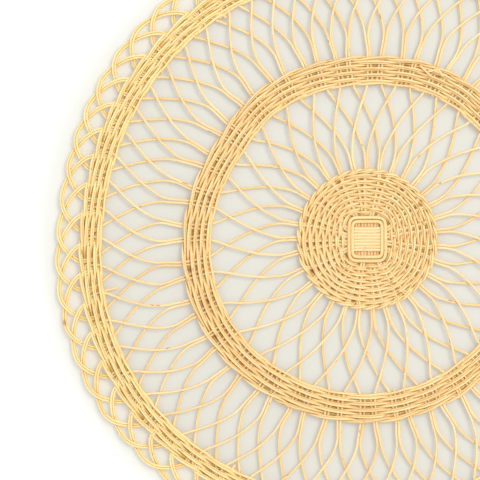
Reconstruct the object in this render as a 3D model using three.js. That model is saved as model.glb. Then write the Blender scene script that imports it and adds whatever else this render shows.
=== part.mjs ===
// Round rattan placemat: a tight woven centre, two woven bands, two open nets of crossing
// canes and a looped border. Millimetres, +Z up, origin in the middle of the underside.
import * as THREE from 'three';

const CANE = 1.65; // thickness of one cane
const DOUBLED = 2 * CANE; // two canes laid side by side
const CLEARANCE = 0.3; // between neighbouring pieces
const THICKNESS = 6.8; // of the woven rings, four weavers and a stake deep
const MIDDLE_HEIGHT = THICKNESS / 2;
const HALF_TURN = Math.PI;
const RADIANS = HALF_TURN / 180;

// Woven rings: their edges, the bundles of stakes they hold, the direction of the first
// bundle and the strands of weaver, which pass over every other bundle
const WOVEN = {
  centre: { outer: 42, bundles: 16, first: 5.625, strands: 13, stepsBetween: 4 },
  middle: { inner: 94, outer: 112, bundles: 32, first: 84.375, strands: 10, stepsBetween: 2 },
  outer: { inner: 161, outer: 175, bundles: 64, first: 84.375, strands: 8, stepsBetween: 2 },
};

// Open nets: pairs of strands leave the inner ring together, split at one reach and then
// swing apart, by so many pitches in all where they meet the outer ring
const NETS = {
  inner: {
    pairs: 32, inner: 42, split: 53.5, outer: 94, swing: 1.3, ease: 0.92, strand: CANE,
  },
  outer: {
    pairs: 32, inner: 112, split: 122, outer: 161, swing: 1, ease: 1.1, strand: DOUBLED,
  },
};
const NET_THICKNESS = 2; // where the strands cross, pressed together
const TIP_WIDTH = 0.2; // half width at which an opening closes to a point
const TIP_HALVINGS = 30; // of the stretch in which a tip is looked for
const STEPS = { teardrop: 3, diamond: 4, arch: 3, triangle: 1 }; // along an opening's sides

// Looped border: 64 loops, each leaning over the next two. One repeat's outline, as the
// share of the pitch along the rim and the reach from the middle
const BORDER = { loops: 64, inner: 175, thickness: 2 * CANE };
const SCALLOP = [
  { share: 0.02, reach: 187.7 },
  { share: 0.3, reach: 189.5 },
  { share: 0.62, reach: 190 },
];
const BORDER_OPENING = [
  { share: 0.6, reach: 175 },
  { share: 0.45, reach: 179.2 },
  { share: 0.54, reach: 183.4 },
  { share: 0.8, reach: 182.4 },
  { share: 1.04, reach: 179.6 },
  { share: 0.9, reach: 175 },
];

// Middle of the centre: canes laid across, over canes laid lengthwise, in two square frames
const CROSS = {
  canes: 8,
  flat: 0.5, // share of a cane's width that is flat on top
  upper: { width: 16.6, depth: 15.2 },
  lower: { width: 14, depth: 17.8 },
  top: 5.3, // height of the upper canes' ridges
};
const FRAMES = {
  inner: { width: 8.6, depth: 9.6 }, // half sides
  outer: { width: 12.9, depth: 14.5 },
  rows: 2,
  steps: 48,
  squareness: 5, // exponent of the rounded square
};

// Depths of a woven ring's surface below its thickness: where a strand passes over a bundle
// of stakes, where it passes under one, and where the strands cross between two bundles
const RELIEF = { over: 0, under: 2.4, between: 1.1 };
const FRAME_RELIEF = { crest: 0.5, valley: 1.8 };
const EDGE_HEIGHT = 2; // where the first strand rounds down to the ring's side
const PINCH = 0.5; // by which a ring narrows on each side between two bundles

// Hand weaving: towards these directions (degrees, over a spread) the rings lie further out
// (+) or further in (-) than true circles, in mm at each ring
const STRAYS = [
  { towards: 62, spread: 18, middle: 2.3, outer: 0.4, rim: 0.2 },
  { towards: 96, spread: 18, middle: -1, outer: 0, rim: 0 },
  { towards: 128, spread: 12, middle: 1, outer: 0.3, rim: 1.3 },
  { towards: 147, spread: 23, middle: -3.8, outer: -0.4, rim: -0.4 },
  { towards: 172, spread: 14, middle: 0, outer: -1.3, rim: -1.6 },
  { towards: 212, spread: 26, middle: 1.9, outer: 3, rim: 3.3 },
  { towards: 262, spread: 30, middle: 0.5, outer: 0, rim: 0 },
];
const STRAY_REACH = { none: 42, middle: 103, outer: 168, rim: 190 };

// Hand spacing: how many degrees the groups of stakes lie ahead of even spacing, towards
// some directions, at the edge of the centre, in the middle band and in the outer band
const LEADS = [
  {
    reach: 42,
    towards: [0, 30, 60, 90, 120, 150, 180, 192, 203, 215, 250, 275, 300, 325],
    ahead: [6.4, 5.2, 3.4, 0.2, -1.4, -1.6, -0.8, -0.6, 2.6, 4.3, 4.8, 3.8, 2.5, 3.6],
  },
  {
    reach: 103,
    towards: [50, 62, 84, 96, 107, 118, 129, 141, 152, 165, 186, 208, 235, 265, 300],
    ahead: [6.3, 3.9, 2.6, 1.8, 0.1, 0, 0.9, 1.3, 1.6, 3.2, 4.4, 5.7, 6.2, 6.6, 5.2],
  },
  {
    reach: 168,
    towards: [60, 118, 135, 150, 165, 175, 190, 203, 220, 236, 300],
    ahead: [4, 1.7, 2.8, 3.1, 2.9, 4.2, 5, 5.8, 6.2, 6.7, 6],
  },
];

const CANE_COLOUR = { weave: '#e6c083', net: '#ecca90', border: '#efcf93' };
const FINISH = { roughness: 0.62, metalness: 0 };

const pitchOf = (count) => (2 * HALF_TURN) / count;

// How far a ring of this reach strays from its circle in this direction
function stray(angle, reach) {
  const { none, middle, outer, rim } = STRAY_REACH;
  const share = (low, high) => THREE.MathUtils.clamp((reach - low) / (high - low), 0, 1);
  let sum = 0;
  for (const row of STRAYS) {
    const amount = row.middle * share(none, middle)
      + (row.outer - row.middle) * share(middle, outer)
      + (row.rim - row.outer) * share(outer, rim);
    const apart = Math.atan2(
      Math.sin(angle - row.towards * RADIANS), Math.cos(angle - row.towards * RADIANS),
    );
    sum += amount * Math.exp(-((apart / (row.spread * RADIANS)) ** 2));
  }
  return sum;
}

// Value between the rows of a table that runs once round the circle
function around(directions, values, direction) {
  const turned = THREE.MathUtils.euclideanModulo(direction, 360);
  const after = directions.findIndex((row) => row > turned);
  const next = Math.max(after, 0);
  const last = (next + directions.length - 1) % directions.length;
  const span = THREE.MathUtils.euclideanModulo(directions[next] - directions[last], 360);
  const share = THREE.MathUtils.euclideanModulo(turned - directions[last], 360) / span;
  return THREE.MathUtils.lerp(values[last], values[next], share);
}

// Radians by which the groups lie ahead of an even angle at a reach
function lead(angle, reach) {
  const atRings = LEADS.map(({ towards, ahead }) => around(towards, ahead, angle / RADIANS));
  let sum = atRings[0];
  for (let ring = 1; ring < LEADS.length; ring += 1) {
    const [low, high] = [LEADS[ring - 1].reach, LEADS[ring].reach];
    const share = THREE.MathUtils.clamp((reach - low) / (high - low), 0, 1);
    sum += (atRings[ring] - atRings[ring - 1]) * share;
  }
  return sum * RADIANS;
}

// Point of the plan at an even angle and a reach on the true circles
function place(angle, reach) {
  const real = angle + lead(angle, reach);
  const strayed = reach + stray(real, reach);
  return new THREE.Vector2(strayed * Math.cos(real), strayed * Math.sin(real));
}

function raise(shape, low, thickness) {
  const solid = new THREE.ExtrudeGeometry(shape, { depth: thickness, bevelEnabled: false });
  return solid.translate(0, 0, low);
}

// Closed ring whose section at each step round is a loop of [reach, height] points
function ringSolid(steps, first, sectionAt) {
  const positions = [];
  const faces = [];
  const size = sectionAt(0).length;
  for (let step = 0; step < steps; step += 1) {
    const angle = first * RADIANS + step * pitchOf(steps);
    for (const [reach, height] of sectionAt(step)) {
      const point = place(angle, reach);
      positions.push(point.x, point.y, height);
    }
    const next = ((step + 1) % steps) * size;
    for (let i = 0; i < size; i += 1) {
      const j = (i + 1) % size;
      const here = step * size;
      faces.push(here + i, next + j, next + i, here + i, here + j, next + j);
    }
  }
  const solid = new THREE.BufferGeometry();
  solid.setAttribute('position', new THREE.Float32BufferAttribute(positions, 3));
  solid.setIndex(faces);
  return solid;
}

// Section of a ring with a flat underside, from the heights of its top's points
function ringSection(inner, outer, heights) {
  const row = (outer - inner) / heights.length;
  const top = heights.map((height, i) => [inner + (i + 0.5) * row, height]);
  return [[outer, 0], [inner, 0], [inner, EDGE_HEIGHT], ...top, [outer, EDGE_HEIGHT]];
}

// Heights of a woven ring's strands at a place from one bundle (0) to the next (1)
function strandHeights(strands, bundle, share) {
  const heights = [];
  for (let i = 0; i < strands; i += 1) {
    const overFirst = (i + bundle) % 2 === 0;
    const from = overFirst ? RELIEF.over : RELIEF.under;
    const to = overFirst ? RELIEF.under : RELIEF.over;
    const depth = share <= 0.5
      ? THREE.MathUtils.lerp(from, RELIEF.between, 2 * share)
      : THREE.MathUtils.lerp(RELIEF.between, to, 2 * share - 1);
    heights.push(THICKNESS - depth);
  }
  return heights;
}

function wovenRing({ outer, bundles, first, strands, stepsBetween }, innerAt) {
  const steps = bundles * stepsBetween;
  return ringSolid(steps, first, (step) => {
    const share = (step % stepsBetween) / stepsBetween;
    const heights = strandHeights(strands, Math.floor(step / stepsBetween), share);
    const pinch = PINCH * Math.sin(HALF_TURN * share);
    const inner = innerAt(first * RADIANS + step * pitchOf(steps), pinch);
    return ringSection(inner, outer - CLEARANCE / 2 - pinch, heights);
  });
}

function wovenBand(band) {
  return wovenRing(band, (angle, pinch) => band.inner + CLEARANCE / 2 + pinch);
}

// Reach of a rounded square with these half sides in a direction
function squareReach(direction, { width, depth }) {
  const across = Math.abs(Math.cos(direction) / width) ** FRAMES.squareness;
  const along = Math.abs(Math.sin(direction) / depth) ** FRAMES.squareness;
  return (across + along) ** (-1 / FRAMES.squareness);
}

function wovenCentre(centre) {
  return wovenRing(centre, (angle) => {
    const direction = angle + lead(angle, 0);
    return squareReach(direction, FRAMES.outer) + CLEARANCE;
  });
}

function squareFrames() {
  const heights = [];
  for (let i = 0; i < 2 * FRAMES.rows - 1; i += 1) {
    heights.push(THICKNESS - (i % 2 ? FRAME_RELIEF.valley : FRAME_RELIEF.crest));
  }
  return ringSolid(FRAMES.steps, 0, (step) => {
    const angle = step * pitchOf(FRAMES.steps);
    const direction = angle + lead(angle, 0);
    const hole = squareReach(direction, FRAMES.inner) + CLEARANCE;
    return ringSection(hole, squareReach(direction, FRAMES.outer), heights);
  });
}

// Row of canes side by side: a slab whose ridges run along x, between two heights
function caneRow({ width, depth }, low, high) {
  const ridges = new THREE.Shape();
  const pitch = depth / CROSS.canes;
  ridges.moveTo(-depth / 2, low);
  ridges.lineTo(depth / 2, low);
  for (let i = 0; i < CROSS.canes; i += 1) {
    const edge = depth / 2 - i * pitch;
    if (i > 0) ridges.lineTo(edge, high - CANE / 2);
    ridges.lineTo(edge - (pitch * (1 - CROSS.flat)) / 2, high);
    ridges.lineTo(edge - (pitch * (1 + CROSS.flat)) / 2, high);
  }
  const row = new THREE.ExtrudeGeometry(ridges, { depth: width, bevelEnabled: false });
  row.translate(0, 0, -width / 2);
  return row.rotateX(HALF_TURN / 2).rotateZ(HALF_TURN / 2);
}

// Half the clear angle beside a centre line between two strands of a net, at one reach.
// Lines run along the pairs, or halfway between them
function clearAngle(net, reach, offset) {
  const pitch = pitchOf(net.pairs);
  const share = Math.max(0, (reach - net.split) / (net.outer - net.split));
  const swung = net.strand / 2 / reach + net.swing * pitch * share ** net.ease;
  const slope = share > 0
    ? (reach * net.swing * pitch * net.ease * share ** (net.ease - 1)) / (net.outer - net.split)
    : 0;
  const halfStrand = (net.strand / 2 / reach) * Math.hypot(1, slope);
  const apart = swung - offset;
  return Math.abs(apart - pitch * Math.round(apart / pitch)) - halfStrand;
}

// Reach at which the strands of a net cross for the first, second... time
function crossing(net, count) {
  return net.split + (net.outer - net.split) * (count / (2 * net.swing)) ** (1 / net.ease);
}

// Reach nearest to a crossing at which an opening has become wide enough, seen from inside it
function tip(net, offset, closed, open) {
  let [from, to] = [closed, open];
  for (let halving = 0; halving < TIP_HALVINGS; halving += 1) {
    const half = (from + to) / 2;
    if (clearAngle(net, half, offset) * half > TIP_WIDTH) to = half;
    else from = half;
  }
  return to;
}

// Sides of an opening between two reaches: outwards on the right, then back on the left. A
// pointed end is one point
function opening(net, line, offset, low, high, steps) {
  const left = [];
  const right = [];
  for (let i = 0; i <= steps; i += 1) {
    const reach = low + ((high - low) * i) / steps;
    const half = clearAngle(net, reach, offset);
    if (half * reach > 2 * TIP_WIDTH) {
      right.push(place(line - half, reach));
      left.push(place(line + half, reach));
    } else {
      right.push(place(line, reach));
    }
  }
  return { left, right };
}

// Net of crossing strands. Its openings are teardrops from the inner ring to the first
// crossing, diamonds from where a pair splits to its second crossing, and arches and small
// triangles that end at the outer ring
function openNet(net) {
  const pitch = pitchOf(net.pairs);
  const [inner, outer] = [net.inner + CLEARANCE / 2, net.outer - CLEARANCE / 2];
  const [first, second] = [crossing(net, 1), crossing(net, 2)];
  const middle = (first + net.split) / 2;
  const teardropTip = tip(net, pitch / 2, first, middle);
  const diamond = [tip(net, 0, net.split, first), tip(net, 0, Math.min(second, outer), first)];
  const archTip = tip(net, pitch / 2, first, (first + second) / 2);
  const hasTriangles = second < outer - net.strand;
  const outerEdge = [];
  const innerEdge = [];
  const diamonds = [];
  for (let pair = 0; pair < net.pairs; pair += 1) {
    const line = pair * pitch;
    const between = line + pitch / 2;
    if (hasTriangles) {
      const triangleTip = tip(net, 0, second, outer);
      const triangle = opening(net, line, 0, triangleTip, outer, STEPS.triangle);
      outerEdge.push(...triangle.right.reverse(), ...triangle.left);
    }
    const arch = opening(net, between, pitch / 2, archTip, outer, STEPS.arch);
    outerEdge.push(...arch.right.reverse(), ...arch.left);
    const teardrop = opening(net, between, pitch / 2, inner, teardropTip, STEPS.teardrop);
    innerEdge.push(...teardrop.right, ...teardrop.left.reverse());
    const sides = opening(net, line, 0, ...diamond, STEPS.diamond);
    diamonds.push(new THREE.Path([...sides.right, ...sides.left.reverse()]));
  }
  const shape = new THREE.Shape(outerEdge);
  shape.holes = [new THREE.Path(innerEdge), ...diamonds];
  return raise(shape, MIDDLE_HEIGHT - NET_THICKNESS / 2, NET_THICKNESS);
}

function loopedBorder({ loops, inner, thickness }) {
  const pitch = pitchOf(loops);
  const outerEdge = [];
  const innerEdge = [];
  for (let loop = 0; loop < loops; loop += 1) {
    const at = ({ share, reach }) => place(
      (loop + share) * pitch, Math.max(reach, inner + CLEARANCE / 2),
    );
    outerEdge.push(...SCALLOP.map(at));
    innerEdge.push(...BORDER_OPENING.map(at));
  }
  const shape = new THREE.Shape(outerEdge);
  shape.holes = [new THREE.Path(innerEdge)];
  return raise(shape, MIDDLE_HEIGHT - thickness / 2, thickness);
}

function piece(name, geometry, color) {
  const mesh = new THREE.Mesh(geometry, new THREE.MeshStandardMaterial({ color, ...FINISH }));
  mesh.name = name;
  return mesh;
}

const placemat = new THREE.Group();
placemat.add(
  piece('lower_canes', caneRow(CROSS.lower, 0, MIDDLE_HEIGHT), CANE_COLOUR.weave),
  piece('upper_canes', caneRow(CROSS.upper, MIDDLE_HEIGHT + CLEARANCE, CROSS.top), CANE_COLOUR.weave),
  piece('square_frames', squareFrames(), CANE_COLOUR.weave),
  piece('centre_weave', wovenCentre(WOVEN.centre), CANE_COLOUR.weave),
  piece('inner_net', openNet(NETS.inner), CANE_COLOUR.net),
  piece('middle_band', wovenBand(WOVEN.middle), CANE_COLOUR.weave),
  piece('outer_net', openNet(NETS.outer), CANE_COLOUR.net),
  piece('outer_band', wovenBand(WOVEN.outer), CANE_COLOUR.weave),
  piece('looped_border', loopedBorder(BORDER), CANE_COLOUR.border),
);

export default placemat;
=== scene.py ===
import bpy
import numpy as np
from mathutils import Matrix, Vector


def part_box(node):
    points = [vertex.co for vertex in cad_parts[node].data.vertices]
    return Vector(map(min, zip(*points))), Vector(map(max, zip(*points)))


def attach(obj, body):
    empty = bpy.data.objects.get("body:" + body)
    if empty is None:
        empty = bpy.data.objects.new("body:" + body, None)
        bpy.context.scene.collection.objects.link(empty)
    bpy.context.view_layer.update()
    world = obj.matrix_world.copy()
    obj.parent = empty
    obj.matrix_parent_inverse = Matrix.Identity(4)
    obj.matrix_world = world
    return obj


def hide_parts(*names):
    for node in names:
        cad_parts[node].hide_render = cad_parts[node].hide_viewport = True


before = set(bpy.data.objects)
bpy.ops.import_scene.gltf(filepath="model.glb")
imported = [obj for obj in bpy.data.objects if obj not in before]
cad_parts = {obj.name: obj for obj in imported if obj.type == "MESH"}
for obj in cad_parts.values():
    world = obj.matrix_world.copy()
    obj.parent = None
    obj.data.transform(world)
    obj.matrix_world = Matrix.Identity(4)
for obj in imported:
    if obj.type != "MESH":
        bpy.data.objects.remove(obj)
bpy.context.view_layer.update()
rng = np.random.default_rng(38)

# Lengths in millimetres and angles in degrees, up to the floor, light and camera
PER_METRE = 1000
CANE = 1.65  # thickness of a stake
WEAVER = 1.45  # thickness of a weaver
LOW = (CANE + WEAVER) / 2  # height over the stakes' middle of a weaver that lies on them
SIDES = 8  # of a cane's section
TOP = float(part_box("middle_band")[1][2]) * PER_METRE
MIDDLE_HEIGHT = TOP / 2

# The mat's rings, from the middle out
CENTRE_EDGE, MIDDLE_INNER, MIDDLE_OUTER, OUTER_INNER, OUTER_EDGE = 42, 94, 112, 161, 175
PAIRS = 32
PITCH = 360 / PAIRS
LOOPS = 2 * PAIRS
FINE_PITCH = 360 / LOOPS
FIRST_BUNDLE = 84.375

# Hand weaving: towards these directions the rings lie further out (+) or in (-) than true
# circles, at the middle band, the outer band and the rim
STRAYS = [
    # towards, spread, middle, outer, rim
    (62, 18, 2.3, 0.4, 0.2),
    (96, 18, -1.0, 0, 0),
    (128, 12, 1.0, 0.3, 1.3),
    (147, 23, -3.8, -0.4, -0.4),
    (172, 14, 0, -1.3, -1.6),
    (212, 26, 1.9, 3.0, 3.3),
    (262, 30, 0.5, 0, 0),
]
STRAY_REACHES = (CENTRE_EDGE, 103, 168, 190)
CENTRE_X, CENTRE_Y = 0.9, -0.4  # the middle of the woven centre, beside the middle of the mat

# Degrees by which the hand-spaced groups of stakes lie ahead of even spacing, by direction
LEADS = {
    "centre": [
        (0, 6.4), (30, 5.2), (60, 3.4), (90, 0.2), (120, -1.4), (150, -1.6), (180, -0.8),
        (192, -0.6), (203, 2.6), (215, 4.3), (250, 4.8), (275, 3.8), (300, 2.5), (325, 3.6),
    ],
    "middle": [
        (50, 6.3), (62, 3.9), (84, 2.6), (96, 1.8), (107, 0.1), (118, 0), (129, 0.9), (141, 1.3),
        (152, 1.6), (165, 3.2), (186, 4.4), (208, 5.7), (235, 6.2), (265, 6.6), (300, 5.2),
    ],
    "outer": [
        (60, 4), (118, 1.7), (135, 2.8), (150, 3.1), (165, 2.9), (175, 4.2), (190, 5),
        (203, 5.8), (220, 6.2), (236, 6.7), (300, 6),
    ],
}
LEAD_REACHES = STRAY_REACHES[:3]


def lead(angle, reach):
    """Degrees by which the groups are ahead of even spacing at these places."""
    rings = []
    for table in LEADS.values():
        directions, ahead = np.array(table).T
        rings.append(np.interp(np.mod(angle, 360), directions, ahead, period=360))
    low, middle, high = LEAD_REACHES
    inner_share = np.clip((reach - low) / (middle - low), 0, 1)
    outer_share = np.clip((reach - middle) / (high - middle), 0, 1)
    return rings[0] + (rings[1] - rings[0]) * inner_share + (rings[2] - rings[1]) * outer_share


def stray(angle, reach):
    """How much further out than its circle a ring lies."""
    total = np.zeros(np.broadcast(angle, reach).shape)
    for towards, spread, *amounts in STRAYS:
        amount = np.interp(reach, STRAY_REACHES, (0, *amounts))
        apart = np.mod(angle - towards + 180, 360) - 180
        total += amount * np.exp(-((apart / spread) ** 2))
    return total


def place(angle, reach, height):
    """Points from even angles, reaches on true circles and heights over the middle."""
    angle, reach, height = np.broadcast_arrays(angle, reach, height)
    real = angle + lead(angle, reach)
    out = reach + stray(real, reach)
    turn = np.radians(real)
    moved = np.interp(reach, (CENTRE_EDGE, MIDDLE_INNER), (1, 0))
    x, y = out * np.cos(turn) + moved * CENTRE_X, out * np.sin(turn) + moved * CENTRE_Y
    return np.stack([x, y, MIDDLE_HEIGHT + height], axis=-1)


def arc_angle(length, reach):
    """Degrees that an arc of this length takes up at a reach."""
    return np.degrees(np.asarray(length, float) / reach)


def flat_place(direction, reach):
    """Point of the plan at a true direction and reach."""
    turn = np.radians(direction)
    return np.array([reach * np.cos(turn), reach * np.sin(turn)])


# Canes

STAKE_STEP = 1.8  # along a stake
FINE_STEP = 0.5  # along a path while it is eased
STAKE_EASE = 2.2  # length over which a stake's corners are eased
BENDS = 0.1  # how far a stake bends sideways of its own
BEND_LENGTHS = [(35, 1), (15.75, 0.45)]  # length of a bend, share of the sideways way


def lengths_along(path):
    """Length from the start of a path to each of its points."""
    return np.concatenate([[0], np.cumsum(np.linalg.norm(np.diff(path, axis=0), axis=1))])


def unit(vectors):
    """The vectors at length one."""
    return vectors / np.linalg.norm(vectors, axis=1)[:, None]


def resample(path, step):
    """Points about a step apart along a path, the ends kept."""
    along = lengths_along(path)
    at = np.linspace(0, along[-1], max(4, int(round(along[-1] / step)) + 1))
    return np.stack([np.interp(at, along, path[:, axis]) for axis in range(3)], axis=1)


def springy(path, ease=STAKE_EASE, step=STAKE_STEP):
    """The way a springy cane takes: its corners eased over a length."""
    fine = resample(np.asarray(path, float), FINE_STEP)
    half = min(int(3 * ease / FINE_STEP), len(fine) - 1)
    weights = np.exp(-0.5 * (np.arange(-half, half + 1) * FINE_STEP / ease) ** 2)
    before = 2 * fine[0] - fine[half:0:-1]
    after = 2 * fine[-1] - fine[-2:-half - 2:-1]
    padded = np.concatenate([before, fine, after])
    eased = [np.convolve(padded[:, axis], weights / weights.sum(), "valid") for axis in range(3)]
    return resample(np.stack(eased, axis=1), step)


def beside(path, shift):
    """A path that runs beside another in the mat's plane."""
    ahead = np.gradient(path, axis=0)
    side = np.stack([-ahead[:, 1], ahead[:, 0], 0 * ahead[:, 0]], axis=1)
    return path + np.reshape(shift, (-1, 1)) * unit(side)


def wander(path, amount=BENDS):
    """Slow bends of a cane's own, sideways in the mat's plane."""
    along = lengths_along(path)
    shift = np.zeros(len(path))
    for length, share in BEND_LENGTHS:
        turn = rng.uniform(0, 2 * np.pi)
        shift += amount * share * np.sin(2 * np.pi * along / length + turn)
    return beside(path, shift)


# Brown patches of skin left on the canes
STAINS = [
    # direction, reach, size
    (195.6, 190.6, 1.5), (76.9, 108.1, 1.3), (210.9, 38, 1.6), (32.3, 38.3, 1.1), (116, 37.8, 1),
    (140, 32.4, 0.9), (327, 30, 0.9), (300, 31, 0.9), (301, 38, 0.9), (259, 38.7, 0.9),
    (190, 109, 1.2), (213, 109, 1.3), (201.5, 103.2, 1), (165, 99, 1), (220.5, 178, 1.2),
]

# Ends of canes that stick out of the weave, as direction, reach and height at both ends
WEAVER_ENDS = [
    (72.7, 110.3, 2.2, 68.3, 106.3, 2.9), (67.2, 112.4, 2.4, 64.6, 108.9, 2.9),
    (69.7, 108.1, 2.9, 65.9, 113, 2.2),
]
STAKE_ENDS = [
    (191.4, 167, 0, 191.2, 153.6, -0.5), (122.3, 166, 0, 122.3, 158.6, 0),
    (240, 166, 0, 240, 159, 0), (96.7, 97, 0, 96.7, 93.2, 0),
]
GRAIN_LENGTH = 500  # of the grain from which each cane takes its own stretch


class Canes:
    """Many round canes gathered into one mesh, with their looks as attributes."""

    def __init__(self):
        self.points, self.faces, self.caps = [], [], []
        # inner holds the share of painted crevice shade at each point
        self.grain, self.tone, self.inner = [], [], []
        self.size = 0

    def add(self, path, thickness, closed=False, tone=None):
        """A cane along a path, with a ring of points at each point of the path."""
        count = len(path)
        if closed:
            ahead = unit(np.roll(path, -1, axis=0) - np.roll(path, 1, axis=0))
        else:
            ahead = unit(np.gradient(path, axis=0))
        side = unit(np.cross(ahead, (0, 0, 1)))
        up = np.cross(side, ahead)
        around = (np.arange(SIDES) + 0.5) * 2 * np.pi / SIDES
        ring = np.cos(around)[:, None] * side[:, None] + np.sin(around)[:, None] * up[:, None]
        points = path[:, None] + np.reshape(thickness, (-1, 1, 1)) / 2 * ring
        own = rng.uniform(0, GRAIN_LENGTH)
        grain = np.empty((count, SIDES, 3))
        grain[..., 0] = (lengths_along(path) + own)[:, None]
        grain[..., 1] = np.cos(around) + own
        grain[..., 2] = np.sin(around)
        index = self.size + np.arange(count * SIDES).reshape(count, SIDES)
        beyond = np.roll(index, -1, axis=1)
        if closed:
            low, high = (index, beyond), (np.roll(index, -1, axis=0), np.roll(beyond, -1, axis=0))
        else:
            low, high = (index[:-1], beyond[:-1]), (index[1:], beyond[1:])
            self.caps += [index[0], index[-1][::-1]]
        self.faces.append(np.stack([low[0], high[0], high[1], low[1]], axis=-1).reshape(-1, 4))
        self.points.append(points.reshape(-1, 3))
        self.grain.append(grain.reshape(-1, 3))
        self.tone.append(np.full(count * SIDES, rng.random() if tone is None else tone))
        # Painted shade: how much each point faces into the mat, towards the crossing canes that
        # shade it there
        crevice_shade = (MIDDLE_HEIGHT - path[:, None, 2]) * ring[..., 2] / LOW
        self.inner.append(np.clip(crevice_shade, 0, 1).ravel())
        self.size += count * SIDES

    def add_ends(self, rows, thickness):
        """Short straight canes from a table of both their ends."""
        for row in rows:
            ends = [(*flat_place(*row[at:at + 2]), MIDDLE_HEIGHT + row[at + 2]) for at in (0, 3)]
            self.add(resample(np.array(ends), STAKE_STEP), thickness)

    def stains(self):
        """How much of a stain is at each point."""
        points = np.concatenate(self.points)
        total = np.zeros(len(points))
        for direction, reach, size in STAINS:
            apart = points[:, :2] - flat_place(direction, reach)
            total += np.exp(-np.sum(apart**2, axis=1) / size**2)
        return np.clip(total, 0, 1)

    def build(self, name, slot, material, *nodes):
        """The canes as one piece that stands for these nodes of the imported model."""
        quads = np.concatenate(self.faces)
        corners = np.concatenate([quads.ravel(), *self.caps])
        starts = np.concatenate([
            np.arange(len(quads)) * 4,
            4 * len(quads) + np.arange(len(self.caps)) * SIDES,
        ])
        mesh = bpy.data.meshes.new(name)
        mesh.vertices.add(self.size)
        mesh.vertices.foreach_set("co", np.concatenate(self.points).ravel() / PER_METRE)
        mesh.loops.add(len(corners))
        mesh.loops.foreach_set("vertex_index", corners.astype(np.int32))
        mesh.polygons.add(len(starts))
        mesh.polygons.foreach_set("loop_start", starts.astype(np.int32))
        mesh.update(calc_edges=True)
        mesh.validate()
        grain = mesh.attributes.new("grain", "FLOAT_VECTOR", "POINT")
        grain.data.foreach_set("vector", np.concatenate(self.grain).ravel())
        for key, values in (("tone", self.tone), ("inner", self.inner), ("stain", [self.stains()])):
            attribute = mesh.attributes.new(key, "FLOAT", "POINT")
            attribute.data.foreach_set("value", np.concatenate(values))
        mesh.shade_smooth()
        mesh.materials.append(material)
        piece = bpy.data.objects.new(name, mesh)
        bpy.context.collection.objects.link(piece)
        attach(piece, "root")
        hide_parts(*nodes)
        return piece


# Weavers: doubled canes that go over one bundle of stakes and under the next

FULLNESS = 0.2  # how much a weaver flattens where it lies over or under a bundle
EDGE_SLANT = 0.35  # sideways swing of the fine twined edge
UNEVEN = {"sideways": 0.1, "doubled": 0.06, "single": 0.04}


class Weave:
    """How weavers run: their bundles, how far two lie apart, their rise and where they start."""

    def __init__(self, groups, steps, spread, rise, first=FIRST_BUNDLE):
        self.groups, self.spread, self.rise = groups, spread, rise
        self.turns = np.arange(groups * steps) / steps
        self.angle = first + self.turns * 360 / groups

    def unevenness(self, kind):
        """Small differences from bundle to bundle."""
        own = rng.normal(0, UNEVEN[kind], self.groups)
        return np.interp(self.turns, np.arange(self.groups), own, period=self.groups)

    def over(self, parity):
        """From 1 over a bundle to -1 under the next."""
        level = np.cos(np.pi * (self.turns + parity))
        return level * (1 + FULLNESS - FULLNESS * level**2)

    def sideways(self, parity, slant):
        """How far a weaver swings out between two bundles."""
        return -slant * np.sin(np.pi * (self.turns + parity)) + self.unevenness("sideways")

    def doubled(self, canes, reach, parity, slant=0.0):
        """Two canes beside each other, the outer one a little higher."""
        stack = np.sqrt(WEAVER**2 - self.spread**2)
        height = (LOW + stack / 2) * self.rise * self.over(parity) + self.unevenness("doubled")
        out = reach + self.sideways(parity, slant)
        for side in (-1, 1):
            way = place(self.angle, out + side * self.spread / 2, height + side * stack / 2)
            canes.add(way, WEAVER, closed=True)

    def single(self, canes, reach, parity, slant):
        """One cane by itself."""
        height = LOW * self.rise * self.over(parity) + self.unevenness("single")
        way = place(self.angle, reach + self.sideways(parity, slant), height)
        canes.add(way, WEAVER, closed=True)


# Rows of the bands: reach of the fine twined edge, of the first plain row and of the broad
# twined edge, which swings sideways by the slant
BANDS = {
    "middle": {
        "edge": 95, "first": 96.1, "pitch": 1.94, "rows": 7, "twined": 110.2, "slant": 0.8,
    },
    "outer": {
        "edge": 161.7, "first": 162.9, "pitch": 1.95, "rows": 5, "twined": 173.2, "slant": 0.7,
    },
}


def woven_band(canes, weave, edge, first, pitch, rows, twined, slant):
    """A fine twined edge, plain weave of doubled weavers and a broad twined edge."""
    for parity in (0, 1):
        weave.single(canes, edge, parity, EDGE_SLANT)
        weave.doubled(canes, twined, parity, slant)
    for row in range(rows):
        weave.doubled(canes, first + row * pitch, row % 2)


def squarish(turn, half_width, half_depth, squareness):
    """Reach of a rounded square in these directions, in radians."""
    across = np.abs(np.cos(turn) / half_width) ** squareness
    along = np.abs(np.sin(turn) / half_depth) ** squareness
    return (across + along) ** (-1 / squareness)


# Rows of the centre: the first is a rounded square round the cross's frames, as half width,
# half depth and squareness, and the last is a circle
CENTRE = {"rows": 13, "first": (14.4, 16.1, 3.5), "last": 38.6, "twined": 41.2, "slant": 0.7}


def woven_centre(canes):
    """Close rows over 16 groups of four stakes, and a twined edge over their pairs."""
    weave = Weave(groups=PAIRS // 2, steps=18, spread=1.05, rise=0.68, first=PITCH / 2)
    first = squarish(np.radians(weave.angle + lead(weave.angle, 0)), *CENTRE["first"])
    for row in range(CENTRE["rows"]):
        share = row / (CENTRE["rows"] - 1)
        weave.doubled(canes, first + (CENTRE["last"] - first) * share, row % 2)
    edge = Weave(groups=PAIRS, steps=10, spread=1.1, rise=0.7, first=0)
    for parity in (0, 1):
        edge.doubled(canes, CENTRE["twined"], parity, CENTRE["slant"])


FRAME_CANE = 2.25
FRAME_LEVEL = 1.6  # height over or under the mat's middle
FRAME_STEPS = 160
FRAME_TONE = 0.2
FRAME_SQUARES = [
    # half width, half depth, squareness
    (9.0, 10.8, 8), (11.15, 13.2, 6),
]


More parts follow.
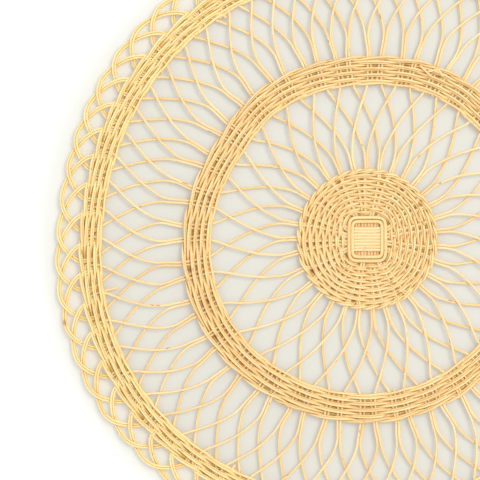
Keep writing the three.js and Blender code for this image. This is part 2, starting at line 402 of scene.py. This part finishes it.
def square_frames(canes):
    """The first turns of weaver round the cross, above and below it."""
    turn = np.linspace(0, 2 * np.pi, FRAME_STEPS, endpoint=False)
    for square in FRAME_SQUARES:
        reach = squarish(turn, *square)
        x, y = CENTRE_X + reach * np.cos(turn), CENTRE_Y + reach * np.sin(turn)
        for level in (FRAME_LEVEL, -FRAME_LEVEL):
            way = np.stack([x, y, 0 * turn + MIDDLE_HEIGHT + level], axis=1)
            canes.add(way, FRAME_CANE, closed=True, tone=FRAME_TONE)


# Stakes: canes from the cross in the middle out over both nets and into the outer band

# Cross: each layer's canes lie so far apart and so high over or under the middle, run
# straight for a length and then draw together in pairs at gates further out
CROSS = {
    "canes": 8, "pitch": 1.85, "layer": 0.9, "straight": 7.8,
    "gate": 14.6, "gate_pitch": 4.5, "gate_gap": 0.1,
}
CROSS_CANE = 2.05  # canes spread a little where they are pressed together in the cross
CROSS_TONES = (0.15, 0.8)
CROSS_THINS = (12, 15)  # reaches between which a cane of the cross gets as thin as the others
CROSS_LOOSENS = (16, 25)  # reaches between which it begins to bend on its own

# Woven centre: up to a reach two pairs close up to a group of four, by so many degrees, and
# a pair's canes lie so far to both sides and above and below
GROUP = {"until": 37, "closed_up": 2.1, "apart": 0.45, "stacked": 0.35}
# Reaches that set a stake's way there, for the cross's and for those that start in the weave
CROSS_REACHES = (20, 28, GROUP["until"], CENTRE_EDGE)
HIDDEN_REACHES = (17, 28, GROUP["until"], CENTRE_EDGE)

NETS = {
    "inner": {
        "start": 45, "split": 53.5, "end": MIDDLE_INNER, "swing": 1.275, "ease": 0.95,
        "pitch": PITCH,
    },
    "outer": {
        "start": 126, "split": 126, "end": OUTER_INNER, "swing": 1.3, "ease": 1.2,
        "pitch": FINE_PITCH,
    },
}
NET_STEP = 3
SPLIT_SPREAD = 0.5  # by which the places where pairs split differ
EASE_SPREAD = 0.015  # by which the eases of their swings differ
CROSSED = 1.5  # pitches from a pair's line to the bundle that its cane runs to
# One over the share of a net in which a pair parts, and a cane rises and at the end sinks
PARTS, RISES, SINKS = 3, 4, 8

# Ways through the bands, as offset from the bundle's line and reach
CARRIED = [(4.4, 97), (4.7, 107), (5, MIDDLE_OUTER)]
ADDED = [(1.6, 98), (3.3, MIDDLE_OUTER)]
OUTER_ENDS = {
    1: [(-1.2, 165), (2.4, 170), (4.2, 172.5)],
    -1: [(2.3, 165), (4, 170), (5.6, 172.5)],
}
LEAVING = [(114, 0.752), (118, 0.86), (122, 0.97)]  # reach, share of the way to the pair's line
ADDED_START = (1.4, MIDDLE_INNER + 1.7)
STICKS_OUT = {"share": 0.15, "lengths": (1.5, 2.6)}  # added stakes whose start shows in the net


def net_rows(net, line, side):
    """A cane's way over a net beside its pair's line: angles, reaches and heights."""
    split = net["split"] + rng.normal(0, SPLIT_SPREAD)
    reach = np.arange(net["start"], net["end"], NET_STEP, dtype=float)
    share = np.clip((reach - split) / (net["end"] - split), 0, 1)
    swung = net["swing"] * share ** (net["ease"] + rng.normal(0, EASE_SPREAD))
    apart = arc_angle(CANE / 2, reach) * np.clip(1 - PARTS * share, 0, 1)
    height = CANE / 2 * np.clip(RISES * share, 0, 1) * np.clip((1 - share) * SINKS, 0, 1)
    return list(zip(line + side * (apart + swung * net["pitch"]), reach, -side * height))


def cross_points(direction, slot):
    """A cane's way in the cross, from the middle out to where it turns to its pair."""
    offset = (slot - (CROSS["canes"] - 1) / 2) * CROSS["pitch"]
    group = slot // 2 - (CROSS["canes"] / 2 - 1) / 2
    gate = group * CROSS["gate_pitch"] + (slot % 2 - 0.5) * (CANE + CROSS["gate_gap"])
    layer = CROSS["layer"] if direction in (0, 180) else -CROSS["layer"]
    turn = np.radians(direction)
    points = []
    for along, across, height in (
        (0, offset, layer), (CROSS["straight"], offset, layer), (CROSS["gate"], gate, 0),
    ):
        x = CENTRE_X + along * np.cos(turn) - across * np.sin(turn)
        y = CENTRE_Y + along * np.sin(turn) + across * np.cos(turn)
        points.append((x, y, MIDDLE_HEIGHT + height))
    return np.array(points)


def centre_rows(pair, side, reaches):
    """A cane's way through the woven centre, at these reaches, bunched to its group."""
    towards = -1 if pair % 2 else 1
    opening = (GROUP["until"], CENTRE_EDGE)
    rows = []
    for reach in reaches:
        closed_up = np.interp(reach, opening, (GROUP["closed_up"], 0))
        apart = np.interp(reach, opening, (GROUP["apart"], CANE / 2))
        height = side * np.interp(reach, opening, (GROUP["stacked"], 0))
        line = pair * PITCH + towards * closed_up
        rows.append((line + side * arc_angle(apart, reach), reach, height))
    return rows


def band_rows(bundle, side, rows):
    """Rows through a band from offsets to a side of the bundle's line and reaches."""
    return [(bundle + arc_angle(side * offset, reach), reach, 0) for offset, reach in rows]


def outer_rows(bundle, side, leans):
    """A cane's way from the middle band out over the outer net and into the outer band."""
    rows = []
    line = bundle + side * FINE_PITCH / 2
    for reach, share in LEAVING:
        beside_line = leans * arc_angle(CANE / 2, reach)
        rows.append((bundle + side * share * FINE_PITCH / 2 + beside_line, reach, 0))
    rows += net_rows(NETS["outer"], line, leans)
    return rows + band_rows(line + leans * CROSSED * FINE_PITCH, 1, OUTER_ENDS[leans])


def outward_path(pair, side, reaches):
    """Points of a cane of a pair from these reaches in the centre to the outer band."""
    line = pair * PITCH
    bundle = line + side * CROSSED * PITCH
    rows = centre_rows(pair, side, reaches)
    rows += net_rows(NETS["inner"], line, side)
    rows += band_rows(bundle, -side, CARRIED)
    rows += outer_rows(bundle, -side, -side)
    return place(*np.array(rows).T)


def added_path(pair, side):
    """Points of a stake that is added in the middle band and leans the other way."""
    bundle = (pair + side * CROSSED) * PITCH
    offset, begin = ADDED_START
    if rng.random() < STICKS_OUT["share"]:
        begin -= rng.uniform(*STICKS_OUT["lengths"])
    rows = band_rows(bundle, -side, [(offset, begin), *ADDED])
    rows += outer_rows(bundle, -side, side)
    return place(*np.array(rows).T)


def arm(direction, slot):
    """One end of a cane of the cross, from the middle out to the outer band."""
    pair = round(direction / PITCH) - CROSS["canes"] // 2 + slot
    side = -1 if slot % 2 else 1
    outward = outward_path(pair, side, CROSS_REACHES)
    return np.concatenate([cross_points(direction, slot), outward])


def from_middle(path):
    """How far out each point of a path lies."""
    return np.hypot(path[:, 0], path[:, 1])


def stake_canes():
    """The cross's canes, the stakes laid in between and those added in the middle band."""
    canes = Canes()
    for direction in (0, 90):
        for slot in range(CROSS["canes"]):
            one, other = arm(direction, slot), arm(direction + 180, CROSS["canes"] - 1 - slot)
            way = springy(np.concatenate([other[:0:-1], one]))
            way = wander(way, BENDS * np.interp(from_middle(way), CROSS_LOOSENS, (0, 1)))
            thickness = np.interp(from_middle(way), CROSS_THINS, (CROSS_CANE, CANE))
            canes.add(way, thickness, tone=rng.uniform(*CROSS_TONES))
    for pair in range(PAIRS):
        hidden_side = 1 if pair % 2 else -1
        canes.add(wander(springy(outward_path(pair, hidden_side, HIDDEN_REACHES))), CANE)
        for side in (-1, 1):
            canes.add(wander(springy(added_path(pair, side))), CANE)
    canes.add_ends(STAKE_ENDS, CANE)
    return canes


# Border: the stakes' ends bent over into loops that lace through each other

LOOP = [
    # share of the pitch along the rim, reach, height in laced steps
    (-0.16, 166, 0), (-0.06, 171, 0), (0, 175.3, 0.2), (0.12, 177.8, 0.4), (0.3, 180.5, 0.5),
    (0.55, 183.5, 0.1), (0.85, 186, -0.5), (1.15, 187.6, -0.3), (1.45, 188.4, 0),
    (1.7, 187.6, 0.4), (1.95, 185.4, 0.5), (2.15, 182.4, 0), (2.32, 179.3, -0.5),
    (2.44, 176.8, -0.4), (2.5, 175, 0), (2.5, 171, 0), (2.47, 165, 0),
]
FOOT = 0.47  # share of the pitch from a bundle's line to the loop that rises beside it
LACED = 1.05 * CANE  # height between a loop that passes over and one that passes under
LOOP_SPREAD = 0.02  # share by which the loops differ in reach and place
LOOP_EASE = 1.6
LOOP_STEP = 1.6
BORDER_CANE = 1.45
BORDER_APART = 0.98 * BORDER_CANE  # between a loop's two canes


def border_canes():
    """Loops of doubled cane all round the outer band."""
    canes = Canes()
    share, reach, height = np.array(LOOP).T
    for loop in range(LOOPS):
        bundle = FIRST_BUNDLE + loop * FINE_PITCH
        own_reach = OUTER_EDGE + (reach - OUTER_EDGE) * (1 + rng.normal(0, LOOP_SPREAD))
        angle = bundle + (FOOT + share + rng.normal(0, LOOP_SPREAD)) * FINE_PITCH
        way = springy(place(angle, own_reach, height * LACED), LOOP_EASE, LOOP_STEP)
        for side in (-1, 1):
            canes.add(beside(way, side * BORDER_APART / 2), BORDER_CANE)
    return canes


# Materials

KNOT = (0.5, 0.27, 0.1)
STAIN = (0.5, 0.24, 0.06)
PAINTED_SIDE_SHADE = (0.85, 0.64, 0.4)  # painted shade: tint of a cane's sides, darker than its top, where light from above falls off
PAINTED_CREVICE_SHADE = (1.0, 0.9, 0.66)  # painted shade: a warmer, less blue tint on the sides that face into the mat, where the canes shade each other
DARK_FIBRE = (0.8, 0.74, 0.64)
WHITE = (1, 1, 1)
BLACK = (0, 0, 0)


def set_stops(node, stops):
    """Gives a colour ramp these stops, each a position and a colour."""
    elements = node.color_ramp.elements
    while len(elements) < len(stops):
        elements.new(0.5)
    for element, (at, colour) in zip(elements, stops):
        element.position = at
        element.color = (*colour, 1)


def cane_material(name, light, dark):
    """Peeled cane: long fibres, a tone of its own for each cane, now and then a knot, and painted
    shade on its sides and where it faces into the mat.
    """
    material = bpy.data.materials.new(name)
    material.use_nodes = True
    nodes, links = material.node_tree.nodes, material.node_tree.links
    shader = nodes["Principled BSDF"]
    shader.inputs["Roughness"].default_value = 0.55
    shader.inputs["Specular IOR Level"].default_value = 0.25
    shader.inputs["Subsurface Weight"].default_value = 0.2
    shader.inputs["Subsurface Radius"].default_value = (1.0, 0.5, 0.2)
    shader.inputs["Subsurface Scale"].default_value = 0.0012

    def attribute(key):
        node = nodes.new("ShaderNodeAttribute")
        node.attribute_name = key
        return node

    grain, tone = attribute("grain").outputs["Vector"], attribute("tone").outputs["Fac"]

    def noise(stretch, detail):
        mapping = nodes.new("ShaderNodeMapping")
        mapping.inputs["Scale"].default_value = stretch
        links.new(grain, mapping.inputs["Vector"])
        texture = nodes.new("ShaderNodeTexNoise")
        texture.inputs["Scale"].default_value = 1
        texture.inputs["Detail"].default_value = detail
        links.new(mapping.outputs["Vector"], texture.inputs["Vector"])
        return texture.outputs["Fac"]

    def ramp(value, *stops):
        node = nodes.new("ShaderNodeValToRGB")
        set_stops(node, stops)
        links.new(value, node.inputs["Fac"])
        return node.outputs["Color"]

    def mix(share, first, second, kind="MIX"):
        node = nodes.new("ShaderNodeMix")
        node.data_type = "RGBA"
        node.blend_type = kind
        factor, low, high = node.inputs[0], node.inputs[6], node.inputs[7]
        if isinstance(share, float):
            factor.default_value = share
        else:
            links.new(share, factor)
        for source, socket in ((first, low), (second, high)):
            if isinstance(source, tuple):
                socket.default_value = (*source, 1)
            else:
                links.new(source, socket)
        return node.outputs[2]

    def times(first, second):
        return mix(1.0, first, second, "MULTIPLY")

    fibres = noise(stretch=(0.08, 5, 5), detail=4)
    patches = noise(stretch=(0.03, 0.3, 0.3), detail=2)
    marks = noise(stretch=(0.16, 0.5, 0.5), detail=1)
    body = mix(0.5, ramp(tone, (0, dark), (0.4, light)), ramp(patches, (0.38, dark), (0.58, light)))
    body = times(body, ramp(fibres, (0.3, DARK_FIBRE), (0.6, WHITE)))
    normal = nodes.new("ShaderNodeSeparateXYZ")
    links.new(nodes.new("ShaderNodeNewGeometry").outputs["Normal"], normal.inputs[0])
    upright = nodes.new("ShaderNodeMath")
    upright.operation = "ABSOLUTE"
    links.new(normal.outputs["Z"], upright.inputs[0])
    # Painted shade: a cane's sides, which face neither up nor down, are tinted darker than its top
    body = times(body, ramp(upright.outputs[0], (0.2, PAINTED_SIDE_SHADE), (0.75, WHITE)))
    # Painted shade: a warmer, less blue tint where the cane faces into the mat and is shaded by the
    # canes it crosses
    body = mix(attribute("inner").outputs["Fac"], body, times(body, PAINTED_CREVICE_SHADE))
    body = mix(ramp(marks, (0.73, BLACK), (0.78, WHITE)), body, KNOT)
    body = mix(attribute("stain").outputs["Fac"], body, STAIN)
    links.new(body, shader.inputs["Base Color"])
    bump = nodes.new("ShaderNodeBump")
    bump.inputs["Strength"].default_value = 0.3
    bump.inputs["Distance"].default_value = 0.0001
    links.new(fibres, bump.inputs["Height"])
    links.new(bump.outputs["Normal"], shader.inputs["Normal"])
    return material


stake_look = cane_material("stake_cane", light=(0.98, 0.8, 0.48), dark=(0.91, 0.68, 0.35))
weaver_look = cane_material("weaver_cane", light=(0.99, 0.79, 0.43), dark=(0.93, 0.66, 0.31))
pale_look = cane_material("pale_cane", light=(1.0, 0.84, 0.45), dark=(0.95, 0.74, 0.34))

middle_weavers, outer_weavers, centre_weavers = Canes(), Canes(), Canes()
middle_weave = Weave(groups=PAIRS, steps=14, spread=0.92, rise=0.8)
outer_weave = Weave(groups=LOOPS, steps=10, spread=0.95, rise=0.8)
woven_band(middle_weavers, middle_weave, **BANDS["middle"])
middle_weavers.add_ends(WEAVER_ENDS, WEAVER)
woven_band(outer_weavers, outer_weave, **BANDS["outer"])
woven_centre(centre_weavers)
square_frames(centre_weavers)
middle = middle_weavers.build("middle_weavers", "weavers", weaver_look, "middle_band")
outer = outer_weavers.build("outer_weavers", "weavers", pale_look, "outer_band")
centre = centre_weavers.build(
    "centre_weavers", "weavers", weaver_look, "centre_weave", "square_frames",
)
stakes = stake_canes().build(
    "stake_canes", "stakes", stake_look, "lower_canes", "upper_canes", "inner_net", "outer_net",
)
border = border_canes().build("border_canes", "stakes", pale_look, "looped_border")

# Floor, light and camera, in metres

FLOOR_HALF = 2
# Painted shade: the floor is darker under the mat and in a soft band just round its rim, where the
# mat shades it
FLOOR_SHADE = [
    # reach from the middle of the mat, colour
    (0.168, (0.53, 0.54, 0.5)), (0.18, (0.64, 0.64, 0.59)), (0.195, (0.635, 0.65, 0.62)),
    (0.21, (0.85, 0.85, 0.85)),
]
KEY = {"place": (0.5, 0.4, 1.3), "size": 0.8, "power": 8, "colour": (1, 0.98, 0.95)}
WIDE = 0.2914  # what the picture spans
CAMERA_HEIGHT = 0.9
VIEW_X, VIEW_Y = -0.0765, -0.0009
SENSOR = 36

floor_mesh = bpy.data.meshes.new("floor")
floor_signs = ((-1, -1), (1, -1), (1, 1), (-1, 1))
floor_corners = [(x * FLOOR_HALF, y * FLOOR_HALF, 0) for x, y in floor_signs]
floor_mesh.from_pydata(floor_corners, [], [(0, 1, 2, 3)])
floor = bpy.data.objects.new("floor", floor_mesh)
bpy.context.collection.objects.link(floor)
floor_look = bpy.data.materials.new("floor_look")
floor_look.use_nodes = True
floor_nodes, floor_links = floor_look.node_tree.nodes, floor_look.node_tree.links
floor_shader = floor_nodes["Principled BSDF"]
floor_shader.inputs["Roughness"].default_value = 0.8
floor_shader.inputs["Specular IOR Level"].default_value = 0.1
floor_shader.inputs["Emission Color"].default_value = (1, 1, 1, 1)
floor_shader.inputs["Emission Strength"].default_value = 0.2
floor_place = floor_nodes.new("ShaderNodeTexCoord")
floor_reach = floor_nodes.new("ShaderNodeVectorMath")
floor_reach.operation = "LENGTH"
floor_shade = floor_nodes.new("ShaderNodeValToRGB")
floor_shade.color_ramp.interpolation = "EASE"
set_stops(floor_shade, FLOOR_SHADE)
floor_links.new(floor_place.outputs["Object"], floor_reach.inputs[0])
floor_links.new(floor_reach.outputs["Value"], floor_shade.inputs["Fac"])
floor_links.new(floor_shade.outputs["Color"], floor_shader.inputs["Base Color"])
floor_mesh.materials.append(floor_look)

bpy.context.scene.view_settings.view_transform = "Standard"
world = bpy.data.worlds.new("studio")
bpy.context.scene.world = world
world.use_nodes = True
world.node_tree.nodes["Background"].inputs["Color"].default_value = (1, 0.99, 0.97, 1)
world.node_tree.nodes["Background"].inputs["Strength"].default_value = 0.95

key_data = bpy.data.lights.new("key", "AREA")
key_data.shape = "DISK"
key_data.size = KEY["size"]
key_data.energy = KEY["power"]
key_data.color = KEY["colour"]
key = bpy.data.objects.new("key", key_data)
key.location = KEY["place"]
key.rotation_euler = key.location.to_track_quat("Z", "Y").to_euler()
bpy.context.collection.objects.link(key)

camera_data = bpy.data.cameras.new("camera")
camera_data.sensor_width = SENSOR
camera_data.lens = SENSOR * CAMERA_HEIGHT / WIDE
camera = bpy.data.objects.new("camera", camera_data)
camera.location = (VIEW_X, VIEW_Y, CAMERA_HEIGHT + TOP / PER_METRE)
bpy.context.collection.objects.link(camera)
bpy.context.scene.camera = camera
